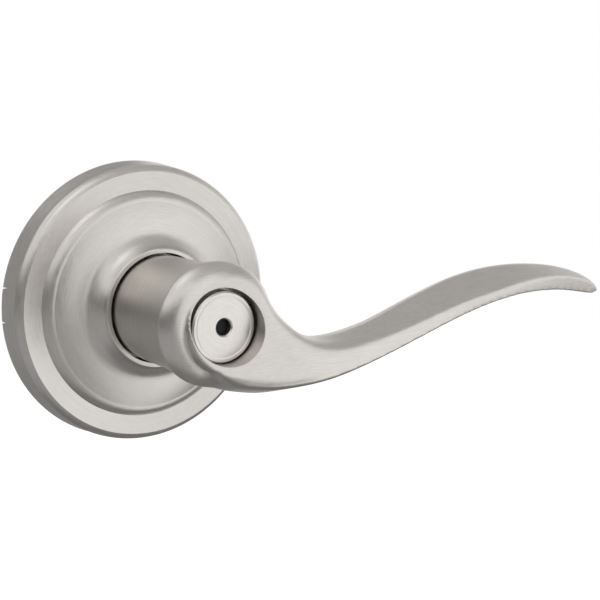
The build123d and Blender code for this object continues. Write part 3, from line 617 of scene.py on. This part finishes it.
class DOORLEVER_OT_lever(bpy.types.Operator):
    """Give the cast lever its satin nickel, brushed along the arm and round the neck"""

    bl_idname = "door_lever.lever"
    bl_label = "Lever"

    def execute(self, context):
        finish = context.scene.nickel_finish
        # Satin nickel on a zinc casting, linished by hand: streaks run along the arm and
        # round the neck. They are drawn coarser than the real grit lines, so that they show.
        material, tree, shader = new_material("satin_nickel_linished")
        place, axes, radius = place_axes(tree)
        squeeze = finish.streak / finish.streak_length
        along = add_node(
            tree, "ShaderNodeVectorMath",
            {0: place, 1: (squeeze, 1.0, 1.0)}, operation="MULTIPLY",
        )
        round_neck = add_node(
            tree, "ShaderNodeCombineXYZ", {"X": axes["Y"], "Y": radius}
        )
        neck_end, arm_start = BRUSH_TURN
        is_arm = add_node(
            tree, "ShaderNodeMapRange",
            {"Value": axes["Y"], "From Min": -neck_end, "From Max": -arm_start},
        )
        first, second, result = MIX_VECTORS
        path = add_node(
            tree, "ShaderNodeMix",
            {"Factor": is_arm.outputs[0],
             first: round_neck.outputs[0], second: along.outputs[0]},
            data_type="VECTOR",
        )
        brush(tree, shader, finish, finish.tone, path.outputs[result], place,
              streak_detail=2.0, patches_per_mm=0.3, patch_detail=3.0, gloss_spread=0.07)
        self.cast(context.scene.casting_shape, material)
        return {"FINISHED"}

    def cast(self, shape, material):
        """The casting as it comes from the belt: soft at the head, crisp towards the tip."""

        def share_of(places):
            """How soft each place becomes: head, arm, tip, hollow, and last the ring."""
            x, y, z = places.T
            radius = numpy.hypot(x, z)
            arm = ramp(x, shape.soft_end / MM, shape.crisp_from / MM)
            share = shape.soft_share + (shape.crisp_share - shape.soft_share) * arm
            tip = ramp(x, shape.tip_from / MM, shape.tip_end / MM)
            share += (shape.tip_share - share) * tip
            away = numpy.hypot(x - shape.hollow[0] / MM, z - shape.hollow[1] / MM)
            hollow = shape.hollow_reach / MM
            share += (1 - share) * (1 - ramp(away, hollow / 2, hollow))
            ring = shape.ring_radius / MM
            share += (shape.ring_share - share) * (1 - ramp(radius, ring, RING_FADE * ring))
            share[(radius < shape.neck_inside / MM) & (y > -NECK_OUT)] = 0
            # A place goes half of the way at most in a pass, which keeps the passes steady
            return share / 2

        def push_of(places):
            """The crown: the edge of the head goes back towards the door."""
            x, y, z = places.T
            inner, outer = shape.ring_radius / MM, shape.head_radius / MM
            edge = numpy.clip((numpy.hypot(x, z) - inner) / (outer - inner), 0, 1) ** 2
            dome = ramp(-y, *CROWN_IN) * (1 - ramp(-y, *CROWN_OUT)) * (1 - ramp(x, *CROWN_END))
            push = numpy.zeros_like(places)
            push[:, 1] = shape.crown / MM * edge * dome
            return push

        def face_out(x, z):
            """How far the slanted face stands from the door."""
            turn, tilt = math.tan(shape.face_turn), math.tan(shape.face_tilt)
            return shape.face_out + x * turn - z * tilt

        mesh = even_copy("lever", round_plug(shape, shape.cell, face_out), shape.cell)
        soften(mesh, shape.passes, push_of, share_of)
        mesh = bore_out(mesh, round_plug(shape, 0, lambda x, z: 2 * face_out(x, z)))
        mesh.materials.clear()
        mesh.materials.append(material)
        piece = bpy.data.objects.new("lever_casting", mesh)
        bpy.context.scene.collection.objects.link(piece)
        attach(piece, "lever")
        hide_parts("lever")


class DOORLEVER_OT_disc(bpy.types.Operator):
    """Give the release disc its turned nickel face"""

    bl_idname = "door_lever.disc"
    bl_label = "Release disc"

    def execute(self, context):
        finish = context.scene.nickel_finish
        # Nickel-plated turned disc: tool lines run round the hole, and the face is painted a
        # shade lighter than the casting, a painted sheen. The lines are drawn coarser than real
        # ones.
        material, tree, shader = new_material("satin_nickel_turned")
        place, axes, radius = place_axes(tree)
        lines = turned_lines(tree, axes, radius, finish.streak / finish.arc_length)
        brush(tree, shader, finish, finish.disc_sheen_tone, lines, place,
              streak_detail=1.0, patches_per_mm=0.5, patch_detail=4.0, gloss_spread=0.06)
        wear("release_insert", material)
        return {"FINISHED"}


class DOORLEVER_OT_works(bpy.types.Operator):
    """Give the works behind the rose their plated, bare and sintered metals"""

    bl_idname = "door_lever.works"
    bl_label = "Works"

    def execute(self, context):
        finish = context.scene.works_finish
        # name, nodes, tone, roughness, grain in millimetres, contrast of the grain
        metals = (
            # Bright zinc plate: cool, with cloudy spangle from the bath
            ("zinc_plate", ZINC_PLATED, finish.zinc, 0.36, 3.0, 0.12),
            # Bare turned steel: neutral, with fine tool marks
            ("machined_steel", MACHINED_STEEL, finish.steel, 0.30, 0.5, 0.08),
            # Oil-tempered spring steel: dark and smooth, a little mottled
            ("spring_steel", SPRING_STEEL, finish.spring, 0.28, 0.8, 0.15),
            # Sintered bronze: matt and speckled with pores
            ("sintered_bronze", ("bearing_bush",), finish.bronze, 0.48, 0.3, 0.30),
            # Bare zinc die casting: dull with a faint cast skin
            ("die_cast_zinc", ("spindle_plug",), finish.casting, 0.52, 0.7, 0.15),
        )
        for name, nodes, tone, roughness, grain, contrast in metals:
            material, tree, shader = new_material(name)
            place = place_axes(tree)[0]
            noise = add_node(
                tree, "ShaderNodeTexNoise",
                {"Vector": place, "Scale": 1 / grain, "Detail": 4.0},
            )
            vary_tone(tree, shader, noise.outputs[0], tone, 1 - contrast, 1 + contrast)
            vary_gloss(tree, shader, noise.outputs[0], roughness, spread=0.08, depth=0.15)
            shader.inputs["Metallic"].default_value = 1.0
            for node_name in nodes:
                wear(node_name, material)
        return {"FINISHED"}


class DOORLEVER_OT_springs(bpy.types.Operator):
    """Put stand-ins for the plunger's coil and the catch's bow in place of their nodes, carried
    by the lever
    """

    bl_idname = "door_lever.springs"
    bl_label = "Pressed springs"

    def execute(self, context):
        for node_name, piece_name, pressing in PRESSED_SPRINGS:
            piece = bpy.data.objects.new(piece_name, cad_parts[node_name].data.copy())
            context.scene.collection.objects.link(piece)
            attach(piece, "lever")
            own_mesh(piece)
            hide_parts(node_name)
        return {"FINISHED"}


class DOORLEVER_OT_release(bpy.types.Operator):
    """Give the release rod and its guide their moulded nylon"""

    bl_idname = "door_lever.release"
    bl_label = "Release rod"

    def execute(self, context):
        finish = context.scene.works_finish
        # Moulded black nylon: a soft sheen over the fine grain of a spark-eroded mould
        material, tree, shader = new_material("moulded_nylon")
        place = place_axes(tree)[0]
        grain = 0.25    # millimetres
        noise = add_node(
            tree, "ShaderNodeTexNoise", {"Vector": place, "Scale": 1 / grain, "Detail": 3.0}
        )
        vary_gloss(tree, shader, noise.outputs[0], roughness=0.70, spread=0.08, depth=0.2)
        shader.inputs["Base Color"].default_value = finish.nylon
        shader.inputs["IOR"].default_value = 1.53
        for node_name in BLACK_NYLON:
            wear(node_name, material)
        return {"FINISHED"}


class DOORLEVER_OT_stage(bpy.types.Operator):
    """Set the floor, the soft lamps, the grey cards and the camera"""

    bl_idname = "door_lever.stage"
    bl_label = "Stage"

    def execute(self, context):
        scene = context.scene
        stage = scene.stage_setting
        scene.view_settings.view_transform = "Standard"
        self.set_world(scene)
        self.set_floor(stage)
        self.set_cards(stage)
        self.set_lamps(scene, stage)
        self.set_camera(scene, stage)
        return {"FINISHED"}

    def set_world(self, scene):
        """White where it is seen, and a soft even fill for what it lights."""
        world = bpy.data.worlds.new("white_studio")
        world.use_nodes = True
        tree = world.node_tree
        tree.nodes.clear()
        level = add_node(
            tree, "ShaderNodeMapRange",
            {"Value": seen_directly(tree), "To Min": WORLD_FILL, "To Max": 1.0},
        )
        light = add_node(
            tree, "ShaderNodeBackground",
            {"Color": WHITE, "Strength": level.outputs[0]},
        )
        add_node(tree, "ShaderNodeOutputWorld", {"Surface": light.outputs[0]})
        scene.world = world

    def set_floor(self, stage):
        """Pale matt paper that shows white and keeps the soft shadow."""
        material = bpy.data.materials.new("pale_paper")
        material.use_nodes = True
        tree = material.node_tree
        tree.nodes.clear()
        paper = add_node(tree, "ShaderNodeBsdfDiffuse", {"Color": stage.floor})
        strength = add_node(
            tree, "ShaderNodeMath",
            {0: seen_directly(tree), 1: stage.floor_lift}, operation="MULTIPLY",
        )
        lift = add_node(
            tree, "ShaderNodeEmission",
            {"Color": WHITE, "Strength": strength.outputs[0]},
        )
        both = add_node(
            tree, "ShaderNodeAddShader", {0: paper.outputs[0], 1: lift.outputs[0]}
        )
        add_node(tree, "ShaderNodeOutputMaterial", {"Surface": both.outputs[0]})
        half = FLOOR_SIZE / 2
        corners = [(x, y, -stage.floor_drop)
                   for x, y in ((-half, -half), (half, -half), (half, half), (-half, half))]
        stage_sheet("floor", corners, [(0, 1, 2, 3)], material)

    def set_cards(self, stage):
        """Grey cards, bent round the object, that only the gloss sees."""
        # name, azimuth from and to (0 in front, 90 on the right), elevation from and to, grey
        cards = (
            ("card_left", -118, -8, -6, 17, stage.left_grey),
            ("card_left_low", -118, 18, -54, -6, stage.left_low_grey),
            ("card_left_high", -110, -10, 38, 88, stage.left_high_grey),
            ("card_overhead", 2, 200, 34, 88, stage.ceiling_grey),
            ("card_right_high", 64, 140, 14, 34, stage.right_high_grey),
            ("card_door_side", 150, 242, -28, 36, stage.back_grey),
            ("card_right", 55, 85, -22, 0, stage.right_grey),
            ("card_below", -180, 180, -88, -54, stage.under_grey),
            ("card_below_back", 140, 242, -54, -28, stage.under_back_grey),
            ("card_below_right", 50, 140, -54, -26, stage.under_grey),
        )
        for name, left, right, low, high, grey in cards:
            material = bpy.data.materials.new(name)
            material.use_nodes = True
            tree = material.node_tree
            tree.nodes.clear()
            tone = add_node(
                tree, "ShaderNodeEmission", {"Color": (grey, grey, grey, 1.0), "Strength": 1.0}
            )
            add_node(tree, "ShaderNodeOutputMaterial", {"Surface": tone.outputs[0]})
            card = bent_card(name, left, right, low, high, material)
            card.visible_camera = False
            card.visible_diffuse = False
            card.visible_transmission = False
            card.visible_shadow = False

    def set_lamps(self, scene, stage):
        """Two large soft lamps."""
        # name, power, side of its square, place
        lamps = (
            ("key_lamp", stage.key_power, 0.30, (-0.24, -0.20, 0.62)),
            ("fill_lamp", stage.fill_power, 0.90, (0.62, -1.02, -0.10)),
        )
        for name, power, size, place in lamps:
            light = bpy.data.lights.new(name, "AREA")
            light.energy = power
            light.shape = "SQUARE"
            light.size = size
            lamp = bpy.data.objects.new(name, light)
            lamp.location = place
            toward = Vector(LAMP_AIM) - lamp.location
            lamp.rotation_euler = toward.to_track_quat("-Z", "Y").to_euler()
            scene.collection.objects.link(lamp)

    def set_camera(self, scene, stage):
        """The photograph's view."""
        lens = bpy.data.cameras.new("camera")
        lens.lens = stage.lens
        lens.sensor_width = SENSOR_WIDTH
        lens.clip_start = CLIP_START
        camera = bpy.data.objects.new("camera", lens)
        camera.location = stage.camera_place
        camera.rotation_euler = (
            math.radians(90) - stage.camera_elevation, 0, stage.camera_azimuth
        )
        scene.collection.objects.link(camera)
        scene.camera = camera


class DOORLEVER_PT_sidebar(bpy.types.Panel):
    """Lists the steps and the sizes and colours that they use"""

    bl_idname = "DOORLEVER_PT_sidebar"
    bl_label = "Door Lever"
    bl_space_type = "VIEW_3D"
    bl_region_type = "UI"
    bl_category = "Door Lever"

    def draw(self, context):
        for step in STEPS:
            self.layout.operator(step.bl_idname)
        for group in (getattr(context.scene, name) for name in GROUPS):
            box = self.layout.box()
            for name in group.__annotations__:
                box.prop(group, name)


GROUPS = {
    "nickel_finish": NickelFinish,
    "casting_shape": CastingShape,
    "works_finish": WorksFinish,
    "stage_setting": StageSetting,
}
STEPS = (DOORLEVER_OT_rose, DOORLEVER_OT_lever, DOORLEVER_OT_disc, DOORLEVER_OT_works,
         DOORLEVER_OT_springs, DOORLEVER_OT_release, DOORLEVER_OT_stage)


def register():
    for group in GROUPS.values():
        bpy.utils.register_class(group)
    for name, group in GROUPS.items():
        setattr(bpy.types.Scene, name, PointerProperty(type=group))
    for step in STEPS:
        bpy.utils.register_class(step)
    bpy.utils.register_class(DOORLEVER_PT_sidebar)


def unregister():
    bpy.utils.unregister_class(DOORLEVER_PT_sidebar)
    for step in reversed(STEPS):
        bpy.utils.unregister_class(step)
    for name in GROUPS:
        delattr(bpy.types.Scene, name)
    for group in reversed(list(GROUPS.values())):
        bpy.utils.unregister_class(group)


def main():
    register()
    bpy.ops.door_lever.rose()
    bpy.ops.door_lever.lever()
    bpy.ops.door_lever.disc()
    bpy.ops.door_lever.works()
    bpy.ops.door_lever.springs()
    bpy.ops.door_lever.release()
    bpy.ops.door_lever.stage()


if __name__ == "__main__":
    main()
